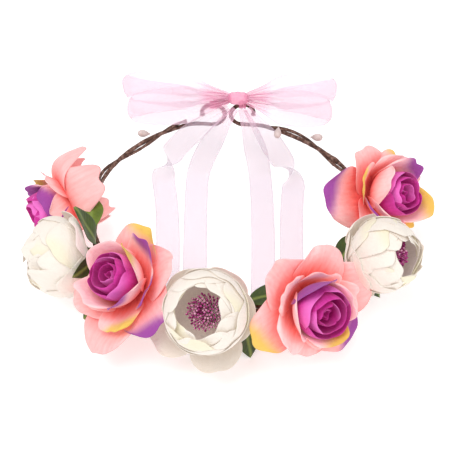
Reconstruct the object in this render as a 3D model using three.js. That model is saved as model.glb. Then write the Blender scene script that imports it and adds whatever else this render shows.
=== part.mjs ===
// A flower crown: an open ring of paper-wrapped wire vine, seven silk flower heads on short stems, leaves
// and berry pips wired to the vine, and two organza ribbons tied in one bow through the eyes at the
// vine's two ends. Millimetres, +Z up. The crown lies on a table with its flowers facing outwards; the
// bow is at the back, at +Y.
import * as THREE from "three";

// ---- Vine ----
const RING_RADIUS = 88; // middle of the head opening to the vine's centreline
const VINE_HEIGHT = 34; // vine's centreline above the table
const STRAND_DIAMETER = 2.8; // main wire in its paper wrap
const TWIST_DIAMETER = 2.2; // thinner wire that winds round it
const TWIST_TURNS = 7; // turns of the thinner wire in a full circle
const EYE_RADIUS = 8; // end eye's centreline, where the ribbon goes through
const EYE_RISE = 4; // eye's centre above the vine
const EYE_TURN = 285; // degrees the wire curls round in an eye

// ---- Flowers, leaves and pips ----
const ROSE_RADIUS = 37; // outer petals of the smallest rose
const ROSE_CUP_RADIUS = 20; // inner petals
const ROSE_CUP_HEIGHT = 25;
const BUD_RADIUS = 12.5;
const RANUNCULUS_RADIUS = 27; // the ball of cup petals
const RANUNCULUS_HEIGHT = 36;
const RANUNCULUS_MOUTH = 16; // radius of the ball's open top
const STAMEN_RADIUS = 9;
const PETAL_WALL = 1.2; // one row of overlapping petals
const CUP_WALL = 3.2; // a ranunculus cup's many rows, pressed together
const STALK_RADIUS = 1.5;
const LEAF_LENGTH = 30;
const LEAF_WIDTH = 16;
const LEAF_THICKNESS = 0.8;
const PIP_DIAMETER = 5.5;
const PIP_LENGTH = 9;

// ---- Ribbon ----
const RIBBON_WIDTH = 16;
const RIBBON_THICKNESS = 0.8; // the soft sheet with its small ripples
const KNOT_LENGTH = 15;
const KNOT_HEIGHT = 9;
const KNOT_OFFSET = 7; // the bow was tied a little right of the middle
const LEFT_LOOP_LENGTH = 74;
const RIGHT_LOOP_LENGTH = 62;
const LOOP_DEPTH = 9; // a loop's two layers stand this far apart
const HITCH_WIDTH = 5; // gathered ribbon where it goes round the wire
const TAIL_START_WIDTH = 3; // gathered ribbon where a tail leaves the knot

// ---- Clearances ----
const TOUCH_GAP = 0.35; // between pieces that touch
const FLEX_GAP = 1.2; // between two stretches of vine that bend on each other

// ---- Places round the ring, in degrees from +X, counter-clockwise seen from above ----
const ARMS = [
  { name: "left_arm", side: -1, flexAngle: 162, flattening: 1 },
  { name: "right_arm", side: 1, flexAngle: 24, flattening: 4 },
];

const COLOURS = {
  bark: 0x5b3a2b,
  pink: 0xf6b3bb,
  magenta: 0x9c1f86,
  white: 0xf2ece0,
  stamen: 0x8e2a78,
  leaf: 0x2f5a1c,
  pip: 0xd8c8c0,
  organza: 0xf9d3e4,
};

const UP = new THREE.Vector3(0, 0, 1);
const ACROSS = new THREE.Vector3(1, 0, 0);
const crown = new THREE.Group();
const radians = THREE.MathUtils.degToRad;

function addPiece(parent, name, geometry, colour, roughness = 0.8) {
  const material = new THREE.MeshStandardMaterial({ color: colour, roughness, metalness: 0 });
  const mesh = new THREE.Mesh(geometry, material);
  mesh.name = name;
  parent.add(mesh);
}

// ---- Making the vine ----
const WIND_RADIUS = (STRAND_DIAMETER + TWIST_DIAMETER) / 2 + TOUCH_GAP; // twist's centreline to the strand's
const STALK_START = WIND_RADIUS + TWIST_DIAMETER / 2 + 4 * TOUCH_GAP; // a slanting stalk clears the twist
const FLEX_GAP_ANGLE = THREE.MathUtils.radToDeg(FLEX_GAP / 2 / RING_RADIUS);

function ringPoint(angle, outwards = 0, lift = 0, target = new THREE.Vector3()) {
  const radius = RING_RADIUS + outwards;
  return target.set(radius * Math.cos(angle), radius * Math.sin(angle), VINE_HEIGHT + lift);
}

// How far an arm is pressed in at an angle: nothing at its ends, most half way.
function pressedIn(arm, degrees) {
  const share = THREE.MathUtils.clamp((degrees - arm.flexAngle) / (90 - arm.flexAngle), 0, 1);
  return arm.flattening * Math.sin(Math.PI * share);
}

// A stretch of vine between two angles, in degrees. A windRadius over 0 winds it round the ring's
// centreline.
class RingStretch extends THREE.Curve {
  constructor(from, to, windRadius, arm = { flexAngle: 0, flattening: 0 }) {
    super();
    Object.assign(this, { from, to, windRadius, arm });
  }
  getPoint(t, target = new THREE.Vector3()) {
    const degrees = THREE.MathUtils.lerp(this.from, this.to, t);
    const wind = TWIST_TURNS * radians(degrees);
    const outwards = this.windRadius * Math.cos(wind) - pressedIn(this.arm, degrees);
    return ringPoint(radians(degrees), outwards, this.windRadius * Math.sin(wind), target);
  }
}

// A round rod along a path.
function rod(path, diameter, steps, sides) {
  const corners = Array.from({ length: sides }, (_, i) => {
    const angle = (2 * Math.PI * i) / sides;
    return new THREE.Vector2(Math.cos(angle), Math.sin(angle)).multiplyScalar(diameter / 2);
  });
  return new THREE.ExtrudeGeometry(new THREE.Shape(corners), { steps, extrudePath: path });
}

// A rear arm's main wire: it follows the ring to the back, then curls up and round into the ribbon's eye.
function armPath(arm, eyeX) {
  const ringEnd = 90 - arm.side * 16;
  const ringStart = arm.flexAngle + arm.side * FLEX_GAP_ANGLE;
  const RING_POINTS = 6;
  const points = [];
  for (let i = 0; i < RING_POINTS; i++) {
    const degrees = THREE.MathUtils.lerp(ringStart, ringEnd, i / (RING_POINTS - 1));
    points.push(ringPoint(radians(degrees), -pressedIn(arm, degrees)));
  }
  const EYE_POINTS = 10;
  for (let i = 0; i < EYE_POINTS; i++) {
    const share = i / (EYE_POINTS - 1);
    const angle = radians(EYE_TURN * share);
    const x = arm.side * (eyeX - EYE_RADIUS * Math.sin(angle));
    const z = eyeCentreZ - EYE_RADIUS * Math.cos(angle);
    points.push(new THREE.Vector3(x, RING_RADIUS + eyeLean * share, z));
  }
  return new THREE.CatmullRomCurve3(points, false, "centripetal");
}

const eyeCentreX = EYE_RADIUS + STRAND_DIAMETER / 2 + 2 * TOUCH_GAP; // from the middle of the back
const eyeCentreZ = VINE_HEIGHT + EYE_RISE;
const eyeLean = STRAND_DIAMETER + 2 * TOUCH_GAP; // the wire's end comes down behind its own start
const eyeTopY = RING_RADIUS + (eyeLean * 180) / EYE_TURN;
const eyeTop = new THREE.Vector3(eyeCentreX, eyeTopY, eyeCentreZ + EYE_RADIUS);

const [leftArm, rightArm] = ARMS;
const frontFrom = leftArm.flexAngle + FLEX_GAP_ANGLE;
const frontTo = 360 + rightArm.flexAngle - FLEX_GAP_ANGLE;
const frontStrand = new RingStretch(frontFrom, frontTo, 0);
addPiece(crown, "vine_front_strand", rod(frontStrand, STRAND_DIAMETER, 48, 6), COLOURS.bark);
const frontTwist = new RingStretch(frontFrom, frontTo, WIND_RADIUS);
addPiece(crown, "vine_front_twist", rod(frontTwist, TWIST_DIAMETER, 72, 5), COLOURS.bark);
for (const arm of ARMS) {
  const strand = rod(armPath(arm, eyeCentreX), STRAND_DIAMETER, 44, 6);
  addPiece(crown, `vine_${arm.name}_strand`, strand, COLOURS.bark);
  const twistEnds = [arm.flexAngle + arm.side * FLEX_GAP_ANGLE, 90 - arm.side * 19];
  const twist = new RingStretch(Math.min(...twistEnds), Math.max(...twistEnds), WIND_RADIUS, arm);
  addPiece(crown, `vine_${arm.name}_twist`, rod(twist, TWIST_DIAMETER, 24, 5), COLOURS.bark);
}

// ---- Making flowers ----
function profilePoints(pairs, foot = 0) {
  return pairs.map(([radius, height]) => new THREE.Vector2(radius, foot + height));
}

// A closed solid of revolution about +Z, from a profile that leaves the axis and comes back to it.
function turned(profile, sides) {
  return new THREE.LatheGeometry(profile, sides).rotateX(Math.PI / 2);
}

// A row of petals as one bowl of even wall. The curve runs from the axis to the rim. Between two petals
// the rim comes back towards the foot by the share notch, and reach gives each petal's length as a share
// of the full one.
function petalRow(curve, wall, notch, reach, sidesPerPetal) {
  const STEPS = 4;
  const outside = curve.getPoints(STEPS);
  const inside = outside.map((point, i) => {
    const along = curve.getTangent(i / STEPS);
    return i === 0
      ? new THREE.Vector2(0, point.y + wall)
      : new THREE.Vector2(point.x - along.y * wall, point.y + along.x * wall);
  });
  const geometry = turned([...outside, ...inside.reverse()], reach.length * sidesPerPetal);
  const foot = outside[0].y;
  const fullReach = outside[STEPS].distanceTo(outside[0]);
  const places = geometry.attributes.position;
  const point = new THREE.Vector3();
  for (let i = 0; i < places.count; i++) {
    point.fromBufferAttribute(places, i);
    point.z -= foot;
    const share = Math.min(1, point.length() / fullReach);
    const turn = (Math.atan2(point.y, point.x) / (2 * Math.PI) + 1) % 1;
    const petal = Math.floor(turn * reach.length);
    const between = turn * reach.length - petal;
    const petalReach = THREE.MathUtils.lerp(reach[petal], reach[(petal + 1) % reach.length], between);
    const dip = 1 - Math.sqrt(Math.abs(Math.cos(Math.PI * between)));
    point.multiplyScalar(1 - share ** 3 * (notch * dip + 1 - petalReach));
    places.setXYZ(i, point.x, point.y, point.z + foot);
  }
  geometry.computeVertexNormals();
  return geometry;
}

function addStem(head, name, length) {
  const top = length - TOUCH_GAP;
  const SEPALS = 3 * STALK_RADIUS; // the green star under the petals
  const profile = profilePoints([
    [0, STALK_START], [0.8 * STALK_RADIUS, STALK_START], [STALK_RADIUS, top - SEPALS / 2],
    [SEPALS, top], [0, top],
  ]);
  addPiece(head, `${name}_stem`, turned(profile, 8), COLOURS.leaf);
}

// A silk rose: a rolled bud, a cup of inner petals and a flared row of outer ones. flare: the rim above
// the foot.
function addRose(head, { name, stem, radius, flare, reach }) {
  const cupFoot = stem + PETAL_WALL + TOUCH_GAP;
  const budFoot = cupFoot + PETAL_WALL + TOUCH_GAP;
  const outer = new THREE.QuadraticBezierCurve(
    ...profilePoints([[0, 0], [radius * 0.72, 0], [radius, flare]], stem),
  );
  addPiece(head, `${name}_outer_petals`, petalRow(outer, PETAL_WALL, 0.28, reach, 6), COLOURS.pink);
  const inner = new THREE.QuadraticBezierCurve(
    ...profilePoints([[0, 0], [ROSE_CUP_RADIUS, 0], [ROSE_CUP_RADIUS, ROSE_CUP_HEIGHT]], cupFoot),
  );
  addPiece(head, `${name}_inner_petals`, petalRow(inner, PETAL_WALL, 0.12, [1, 1, 1, 1], 5), COLOURS.pink);
  const bud = [[0, 0], [0.6, 0.12], [1, 0.4], [1, 0.72], [0.7, 1], [0, 0.88]];
  const budHeight = ROSE_CUP_HEIGHT - TOUCH_GAP;
  const budProfile = profilePoints(bud.map(([r, z]) => [r * BUD_RADIUS, z * budHeight]), budFoot);
  addPiece(head, `${name}_bud`, turned(budProfile, 12), COLOURS.magenta);
  addStem(head, name, stem);
}

// A silk ranunculus: stamens in a thick round cup of petals, with loose guard petals under it.
function addRanunculus(head, { name, stem, radius, flare, reach }) {
  const cupFoot = stem + PETAL_WALL + TOUCH_GAP;
  const stamenFoot = cupFoot + CUP_WALL + TOUCH_GAP;
  const guard = new THREE.QuadraticBezierCurve(
    ...profilePoints([[0, 0], [radius * 0.9, 0], [radius, flare]], stem),
  );
  addPiece(head, `${name}_guard_petals`, petalRow(guard, PETAL_WALL, 0.25, reach, 5), COLOURS.white);
  const belly = RANUNCULUS_RADIUS * 1.22;
  const cup = new THREE.CubicBezierCurve(
    ...profilePoints(
      [[0, 0], [belly, -1], [belly, RANUNCULUS_HEIGHT * 0.62], [RANUNCULUS_MOUTH, RANUNCULUS_HEIGHT]],
      cupFoot,
    ),
  );
  addPiece(head, `${name}_cup_petals`, petalRow(cup, CUP_WALL, 0.04, [1, 1, 1, 1], 6), COLOURS.white);
  const stamens = [[0, 0], [0.45, 0.1], [0.55, 0.35], [1, 0.6], [0.9, 0.9], [0, 1]];
  const stamenHeight = RANUNCULUS_HEIGHT * 0.6;
  const stamenPairs = stamens.map(([r, z]) => [r * STAMEN_RADIUS, z * stamenHeight]);
  const stamenProfile = profilePoints(stamenPairs, stamenFoot);
  addPiece(head, `${name}_stamens`, turned(stamenProfile, 10), COLOURS.stamen);
  addStem(head, name, stem);
}

// A group on the vine whose +Z points the given way, whose +X is level and whose +Y leans up.
function mountOnVine({ at, azimuth, elevation, spin = 0, outwards = 0, lift = 0 }) {
  const a = radians(azimuth);
  const e = radians(elevation);
  const facing = new THREE.Vector3(Math.cos(a) * Math.cos(e), Math.sin(a) * Math.cos(e), Math.sin(e));
  const level = new THREE.Vector3(-Math.sin(a), Math.cos(a), 0);
  const mount = new THREE.Group();
  const axes = new THREE.Matrix4().makeBasis(level, facing.clone().cross(level), facing);
  mount.quaternion.setFromRotationMatrix(axes);
  mount.rotateZ(radians(spin));
  ringPoint(radians(at), outwards, lift, mount.position);
  crown.add(mount);
  return mount;
}

// at: place on the ring; azimuth and elevation: where the flower faces; radius and flare: its lowest
// row's rim; reach: the length of each petal of that row, from the level one on, where a neighbour or the
// table bends it back.
const FLOWERS = [
  {
    add: addRose, name: "rose_left_rear", at: 168, azimuth: 208, elevation: -8, stem: 19,
    radius: ROSE_RADIUS, flare: 3, reach: [0.75, 1, 1, 0.95, 0.8, 0.75],
  },
  {
    add: addRanunculus, name: "ranunculus_left", at: 204, azimuth: 199, elevation: 0, lift: 2, stem: 10,
    radius: RANUNCULUS_RADIUS + 1, flare: 8, reach: [0.8, 1, 1, 1, 0.9],
  },
  {
    add: addRose, name: "rose_left_front", at: 232, azimuth: 212, elevation: 52, stem: 9,
    radius: ROSE_RADIUS + 2, flare: 8, reach: [0.95, 0.85, 0.85, 0.6, 0.78, 1],
  },
  {
    add: addRanunculus, name: "ranunculus_front", at: 264, azimuth: 258, elevation: 49, stem: 9,
    radius: RANUNCULUS_RADIUS + 6, flare: 10, reach: [0.85, 0.85, 0.9, 1, 1],
  },
  {
    add: addRose, name: "rose_right_front", at: 299, azimuth: 303, elevation: 26, stem: 9,
    radius: ROSE_RADIUS + 3, flare: 7, reach: [0.8, 1, 1, 0.9, 0.9, 1],
  },
  {
    add: addRanunculus, name: "ranunculus_right", at: 334, azimuth: 328, elevation: 26, stem: 9,
    radius: RANUNCULUS_RADIUS + 1, flare: 8, reach: [0.9, 1, 1, 1, 1],
  },
  {
    add: addRose, name: "rose_right_rear", at: 368, azimuth: 322, elevation: 34, spin: 30, stem: 15,
    radius: ROSE_RADIUS + 3, flare: 4, reach: [0.75, 0.75, 1, 0.62, 0.65, 0.9],
  },
];
for (const flower of FLOWERS) {
  flower.add(mountOnVine(flower), flower);
}

// ---- Leaves and pips ----
// A leaf from the origin along +Z, facing +Y, whose tip curls back.
function leafGeometry() {
  const half = LEAF_WIDTH / 2;
  const CURL = 3;
  const outline = new THREE.Shape();
  outline.moveTo(0, 0);
  outline.bezierCurveTo(half * 1.3, LEAF_LENGTH * 0.15, half * 1.2, LEAF_LENGTH * 0.7, 0, LEAF_LENGTH);
  outline.bezierCurveTo(-half * 1.2, LEAF_LENGTH * 0.7, -half * 1.3, LEAF_LENGTH * 0.15, 0, 0);
  const settings = { depth: LEAF_THICKNESS, bevelEnabled: false, curveSegments: 6 };
  const geometry = new THREE.ExtrudeGeometry(outline, settings);
  geometry.rotateX(Math.PI / 2);
  const places = geometry.attributes.position;
  for (let i = 0; i < places.count; i++) {
    places.setY(i, places.getY(i) - CURL * (places.getZ(i) / LEAF_LENGTH) ** 2);
  }
  geometry.computeVertexNormals();
  return geometry;
}

const LEAVES = [
  { name: "leaf_left_top", at: 179, azimuth: 272, elevation: 4, lift: 9 },
  { name: "leaf_left_back", at: 205, azimuth: 150, elevation: 70, spin: 20, outwards: 3, lift: 8 },
  { name: "leaf_left_front", at: 213, azimuth: 235, elevation: 4, spin: -75, outwards: 1, lift: 12 },
  { name: "leaf_left_under", at: 219, azimuth: 222, elevation: -35, outwards: 6, lift: -3 },
  { name: "leaf_front_left", at: 258, azimuth: 250, elevation: -65, lift: -5 },
  { name: "leaf_front_right", at: 276, azimuth: 300, elevation: -65, lift: -5 },
  { name: "leaf_front_gap", at: 278, azimuth: 15, elevation: 10, outwards: -3, lift: 6 },
  { name: "leaf_right_inner", at: 322, azimuth: 60, elevation: 5, outwards: -1, lift: 7 },
  { name: "leaf_right_under", at: 332, azimuth: 333, elevation: -45, outwards: 3, lift: -5 },
];
for (const leaf of LEAVES) {
  addPiece(mountOnVine(leaf), leaf.name, leafGeometry(), COLOURS.leaf, 0.6);
}

// A berry pip on its thread of wire, both along +Z.
function pipGeometry() {
  const WIRE_RADIUS = 0.6;
  const WIRE_LENGTH = 1;
  const berry = [[0.8, 0.3], [1, 0.65], [0.6, 0.92], [0, 1]];
  const berryPairs = berry.map(([r, z]) => [(r * PIP_DIAMETER) / 2, z * PIP_LENGTH]);
  const wirePairs = [[0, -WIRE_LENGTH], [WIRE_RADIUS, -WIRE_LENGTH], [WIRE_RADIUS, 0]];
  return turned(profilePoints([...wirePairs, ...berryPairs], STALK_START + WIRE_LENGTH), 8);
}

const PIPS = [
  { name: "pip_left_side", at: 167, azimuth: 280, elevation: 50 },
  { name: "pip_left_arm", at: 124, azimuth: 206, elevation: 25 },
  { name: "pip_right_arm_inner", at: 66, azimuth: 262, elevation: -5, lift: 5 },
  { name: "pip_right_arm_outer", at: 53, azimuth: 325, elevation: 25 },
];
for (const pip of PIPS) {
  addPiece(mountOnVine(pip), pip.name, pipGeometry(), COLOURS.pip);
}

// ---- Making the ribbon ----
// A strip of ribbon along a curve. widthWay(t) is the way across it and widthAt(t) how wide it is.
function ribbonStrip(curve, steps, widthWay, widthAt = () => RIBBON_WIDTH) {
  const geometry = new THREE.BoxGeometry(1, 1, RIBBON_THICKNESS, 1, steps, 1);
  const places = geometry.attributes.position;
  for (let i = 0; i < places.count; i++) {
    const t = THREE.MathUtils.clamp(places.getY(i) + 0.5, 0, 1);
    const along = curve.getTangentAt(t);
    const across = widthWay(t).clone().projectOnPlane(along).normalize();
    const out = along.clone().cross(across).negate();
    const point = curve.getPointAt(t);
    point.addScaledVector(across, places.getX(i) * widthAt(t)).addScaledVector(out, places.getZ(i));
    places.setXYZ(i, point.x, point.y, point.z);
  }
  geometry.computeVertexNormals();
  return geometry;
}

const hitchInner = STRAND_DIAMETER / 2 + 2 * TOUCH_GAP;
const hitchOuter = hitchInner + RIBBON_THICKNESS;
const knotCentre = new THREE.Vector3(
  KNOT_OFFSET,
  RING_RADIUS,
  eyeTop.z + hitchOuter + TOUCH_GAP + KNOT_HEIGHT / 2,
);

// The turn of gathered ribbon that goes through an eye and round the wire at its top.
function hitchGeometry() {
  const ring = new THREE.Shape().absarc(0, 0, hitchOuter, 0, 2 * Math.PI);
  ring.holes.push(new THREE.Path().absarc(0, 0, hitchInner, 0, 2 * Math.PI));
  const settings = { depth: HITCH_WIDTH, bevelEnabled: false, curveSegments: 6 };
  const geometry = new THREE.ExtrudeGeometry(ring, settings);
  return geometry.translate(0, 0, -HITCH_WIDTH / 2).rotateY(Math.PI / 2);
}

for (const arm of ARMS) {
  const geometry = hitchGeometry().translate(arm.side * eyeTop.x, eyeTop.y, eyeTop.z);
  addPiece(crown, `ribbon_${arm.name}_hitch`, geometry, COLOURS.organza);
}

const knot = new THREE.SphereGeometry(0.5, 10, 6).scale(KNOT_LENGTH, KNOT_HEIGHT, KNOT_HEIGHT);
addPiece(crown, "ribbon_knot", knot.translate(...knotCentre.toArray()), COLOURS.organza);

// The bow leans back: its face looks forwards and up.
const BOW_LEAN = radians(44);
const bowUp = new THREE.Vector3(0, Math.cos(BOW_LEAN), Math.sin(BOW_LEAN));
const bowFace = new THREE.Vector3(0, -Math.sin(BOW_LEAN), Math.cos(BOW_LEAN));

// One loop of the bow, out from the knot and back. tilt lifts its end and layer brings it forwards.
class BowLoop extends THREE.Curve {
  constructor(side, length, tilt, layer) {
    super();
    const way = ACROSS.clone().multiplyScalar(side * Math.cos(tilt)).addScaledVector(bowUp, Math.sin(tilt));
    const start = knotCentre.clone().addScaledVector(way, KNOT_LENGTH / 2);
    Object.assign(this, { way, length, layer, start });
  }
  getPoint(t, target = new THREE.Vector3()) {
    const turn = 2 * Math.PI * t;
    const out = (1 - Math.cos(turn)) / 2;
    const endGap = RIBBON_THICKNESS + 2 * TOUCH_GAP;
    const nearKnot = THREE.MathUtils.lerp(endGap, LOOP_DEPTH / 2 + endGap, Math.sqrt(out));
    const opened = (LOOP_DEPTH / 2) * Math.sin(turn) * Math.sqrt(out);
    const depth = opened + (endGap / 2) * Math.cos(turn / 2);
    target.copy(this.start).addScaledVector(this.way, this.length * out);
    return target.addScaledVector(bowFace, depth + this.layer * nearKnot);
  }
}

// Loop widths: gathered at the knot, full width a third of the way out.
function loopWidth(t) {
  const out = (1 - Math.cos(2 * Math.PI * t)) / 2;
  return THREE.MathUtils.lerp(HITCH_WIDTH, RIBBON_WIDTH, THREE.MathUtils.smoothstep(out, 0, 0.35));
}

const LOOPS = [
  { name: "bow_left_upper_loop", side: -1, length: LEFT_LOOP_LENGTH, tilt: 8, layer: -1 },
  { name: "bow_left_lower_loop", side: -1, length: LEFT_LOOP_LENGTH - 6, tilt: -8, layer: 1 },
  { name: "bow_right_upper_loop", side: 1, length: RIGHT_LOOP_LENGTH, tilt: 7, layer: -1 },
  { name: "bow_right_lower_loop", side: 1, length: RIGHT_LOOP_LENGTH - 4, tilt: -12, layer: 1 },
];
for (const { name, side, length, tilt, layer } of LOOPS) {
  const loop = new BowLoop(side, length, radians(tilt), layer);
  addPiece(crown, name, ribbonStrip(loop, 26, () => bowUp, loopWidth), COLOURS.organza);
}

// A tail falls from under the knot, inside the vine, and lies on the table towards the front.
// knotX: its start beside the knot's middle; swing: where it bows out; land, middle, end: where it lies.
function tailCurve({ knotX, swing, land, middle, end }) {
  const onTable = ([x, y]) => new THREE.Vector3(x, y, RIBBON_THICKNESS / 2);
  const landing = onTable(land);
  const sliding = landing.clone().lerp(onTable(middle), -0.3); // in line with the stretch on the table
  const startZ = knotCentre.z - KNOT_HEIGHT / 2 - 3 * TOUCH_GAP;
  const start = new THREE.Vector3(KNOT_OFFSET + knotX, RING_RADIUS - KNOT_HEIGHT / 2, startZ);
  const bowedOut = new THREE.Vector3(...swing, VINE_HEIGHT - 6);
  const tail = new THREE.CurvePath();
  tail.add(new THREE.CubicBezierCurve3(start, bowedOut, sliding, landing));
  tail.add(new THREE.QuadraticBezierCurve3(landing, onTable(middle), onTable(end)));
  return tail;
}

function tailWidth(t) {
  return THREE.MathUtils.lerp(TAIL_START_WIDTH, RIBBON_WIDTH, THREE.MathUtils.smoothstep(t, 0, 0.3));
}

const TAILS = [
  {
    name: "tail_left_inner", knotX: -2, swing: [-14, 70],
    land: [-21.5, 62], middle: [-23, 20], end: [-21, -60],
  },
  {
    name: "tail_left_outer", knotX: -6, swing: [-46, 68],
    land: [-45, 58], middle: [-39, 20], end: [-40, -45],
  },
  {
    name: "tail_right_inner", knotX: 2, swing: [20, 70],
    land: [23, 62], middle: [25, 20], end: [22, -60],
  },
  {
    name: "tail_right_outer", knotX: 6, swing: [44, 62],
    land: [46, 55], middle: [42, 20], end: [42, -45],
  },
];
for (const tail of TAILS) {
  const geometry = ribbonStrip(tailCurve(tail), 30, () => ACROSS, tailWidth);
  const places = geometry.attributes.position;
  for (let i = 0; i < places.count; i++) {
    places.setZ(i, Math.max(places.getZ(i), 0)); // the table presses it flat
  }
  addPiece(crown, tail.name, geometry, COLOURS.organza);
}

// ---- Origin: the middle of the crown's footprint, at table height ----
const bounds = new THREE.Box3().setFromObject(crown, true);
const middle = bounds.getCenter(new THREE.Vector3());
crown.position.set(-middle.x, -middle.y, -bounds.min.z);

export default crown;
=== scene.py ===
# %% [markdown]
# # A flower crown
# The crown is an open ring of paper-wrapped wire with seven silk flowers, a few leaves and berry pips, and
# two organza ribbons tied in a bow at the back. Its measured frame is loaded first and never moved. Every
# soft piece is then made in the place where the frame holds a plain solid for it.

# %% Load the frame
import math
import bmesh
import bpy
from mathutils import Matrix, Vector, noise


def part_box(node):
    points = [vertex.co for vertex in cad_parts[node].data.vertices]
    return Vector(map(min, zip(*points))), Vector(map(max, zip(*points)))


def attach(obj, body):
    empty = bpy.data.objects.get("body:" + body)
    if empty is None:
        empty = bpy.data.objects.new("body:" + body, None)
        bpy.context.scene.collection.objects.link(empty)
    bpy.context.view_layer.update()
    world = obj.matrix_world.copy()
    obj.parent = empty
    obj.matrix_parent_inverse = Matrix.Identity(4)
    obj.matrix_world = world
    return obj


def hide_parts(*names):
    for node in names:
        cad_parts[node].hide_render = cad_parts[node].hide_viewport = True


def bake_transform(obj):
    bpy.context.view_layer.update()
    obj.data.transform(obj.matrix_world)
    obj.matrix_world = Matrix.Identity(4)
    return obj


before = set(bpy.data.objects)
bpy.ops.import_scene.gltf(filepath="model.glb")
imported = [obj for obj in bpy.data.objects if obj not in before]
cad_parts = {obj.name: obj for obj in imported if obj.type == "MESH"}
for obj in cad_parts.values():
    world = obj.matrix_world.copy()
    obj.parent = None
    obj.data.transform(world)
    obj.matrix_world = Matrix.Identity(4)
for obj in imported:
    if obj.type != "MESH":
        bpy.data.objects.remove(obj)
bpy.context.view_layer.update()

# %% [markdown]
# ## Measuring the frame
# The flowers were placed on a ring, so it is easiest to think in millimetres from the middle of that ring.
# The two ribbon hitches sit the same distance either side of the middle at the back, and that gives the
# ring's middle in the frame. One matrix then takes any point from ring millimetres to the frame's metres.

# %% Ring millimetres
RING_RADIUS = 88
VINE_HEIGHT = 34
STRAND_RADIUS = 1.4
TWIST_RADIUS = 1.1
WIND_RADIUS = 2.85  # the twist's centreline round the strand's
HITCH_Y = 90.21  # the hitches' middle, from the ring's middle


def middle(node):
    low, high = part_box(node)
    return (Vector(low) + Vector(high)) * 500


left_hitch, right_hitch = middle("ribbon_left_arm_hitch"), middle("ribbon_right_arm_hitch")
knot_middle = middle("ribbon_knot")
ring_middle = Vector(((left_hitch.x + right_hitch.x) / 2, left_hitch.y - HITCH_Y, 0))
TO_FRAME = Matrix.Scale(0.001, 4) @ Matrix.Translation(ring_middle)
knot_at = knot_middle - ring_middle
print("ring middle, mm:", [round(x, 2) for x in ring_middle], "knot:", [round(x, 2) for x in knot_at])

# %% [markdown]
# ## Camera, floor and light
# The crown lies on a white table and is seen from the front, from well above. A long lens keeps the ring from
# looking stretched. One big soft light above and a bright white world give a pale, nearly shadowless look.

# %% Camera
LENS = 100
CAMERA_DISTANCE = 0.808
CAMERA_ELEVATION = math.radians(46)
target = TO_FRAME @ Vector((-1.3, -15.4, VINE_HEIGHT))
camera = bpy.data.objects.new("camera", bpy.data.cameras.new("camera"))
camera.data.lens = LENS
away = Vector((0, -math.cos(CAMERA_ELEVATION), math.sin(CAMERA_ELEVATION)))
camera.location = target + away * CAMERA_DISTANCE
camera.rotation_euler = away.to_track_quat("Z", "Y").to_euler()
bpy.context.collection.objects.link(camera)
bpy.context.scene.camera = camera
print("camera", [round(x, 3) for x in camera.location])


# %% Helpers for objects and materials
def srgb(red, green, blue):
    """A colour as a screen shows it, 0 to 255, as the linear one that shaders use."""
    def channel(value):
        value /= 255
        return value / 12.92 if value <= 0.04045 else ((value + 0.055) / 1.055) ** 2.4
    return (channel(red), channel(green), channel(blue), 1)


def new_material(name, roughness, **settings):
    """A material, its Principled shader, and a function that adds a node to it."""
    material = bpy.data.materials.new(name)
    material.use_nodes = True
    tree = material.node_tree
    shader = tree.nodes["Principled BSDF"]
    shader.inputs["Roughness"].default_value = roughness
    for socket, value in settings.items():
        shader.inputs[socket.replace("_", " ")].default_value = value
    return material, shader, adder(tree)


def adder(tree):
    """A function that adds a node to the tree. An input that is given as a socket is linked."""
    def add(kind, inputs=(), **settings):
        node = tree.nodes.new("ShaderNode" + kind)
        for key, value in settings.items():
            setattr(node, key, value)
        for key, value in dict(inputs).items():
            if isinstance(value, bpy.types.NodeSocket):
                tree.links.new(value, node.inputs[key])
            else:
                node.inputs[key].default_value = value
        return node
    return add


def link(source, goal):
    source.id_data.links.new(source, goal)


print("helpers ready")

# %% Floor, world and lights
FLOOR_GLOW = 0.35
WORLD_LIGHT = 0.62
floor_mesh = bmesh.new()
bmesh.ops.create_grid(floor_mesh, x_segments=1, y_segments=1, size=2.5)
floor_data = bpy.data.meshes.new("floor")
floor_mesh.to_mesh(floor_data)
floor_mesh.free()
floor = bpy.data.objects.new("floor", floor_data)
bpy.context.collection.objects.link(floor)
floor_paint, floor_shader, _ = new_material("white table", 0.9)
floor_shader.inputs["Base Color"].default_value = (0.93, 0.93, 0.93, 1)
floor_shader.inputs["Emission Color"].default_value = (1, 1, 1, 1)
floor_shader.inputs["Emission Strength"].default_value = FLOOR_GLOW
floor.data.materials.append(floor_paint)

world = bpy.data.worlds.new("studio")
world.use_nodes = True
world.node_tree.nodes["Background"].inputs["Color"].default_value = (1, 1, 1, 1)
world.node_tree.nodes["Background"].inputs["Strength"].default_value = WORLD_LIGHT
bpy.context.scene.world = world
bpy.context.scene.view_settings.view_transform = "Standard"


def soft_light(name, place, size, power):
    data = bpy.data.lights.new(name, "AREA")
    data.size, data.energy = size, power
    lamp = bpy.data.objects.new(name, data)
    lamp.location = place
    lamp.rotation_euler = (Vector(place) - target).to_track_quat("Z", "Y").to_euler()
    bpy.context.collection.objects.link(lamp)


soft_light("overhead softbox", (-0.35, -0.3, 1.3), 0.9, 11)
soft_light("side softbox", (0.9, -0.7, 0.7), 0.6, 3)
print("floor, world and two soft lights")

# %% [markdown]
# ## Shared surface effects
# Silk, organza and paper all show fine threads or fibres, and real dyed cloth is never one even colour. Two
# node groups hold these effects. One gives the height of a weave from the cloth's own UV map, and the other
# makes a colour a little lighter and darker in soft patches.


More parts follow.
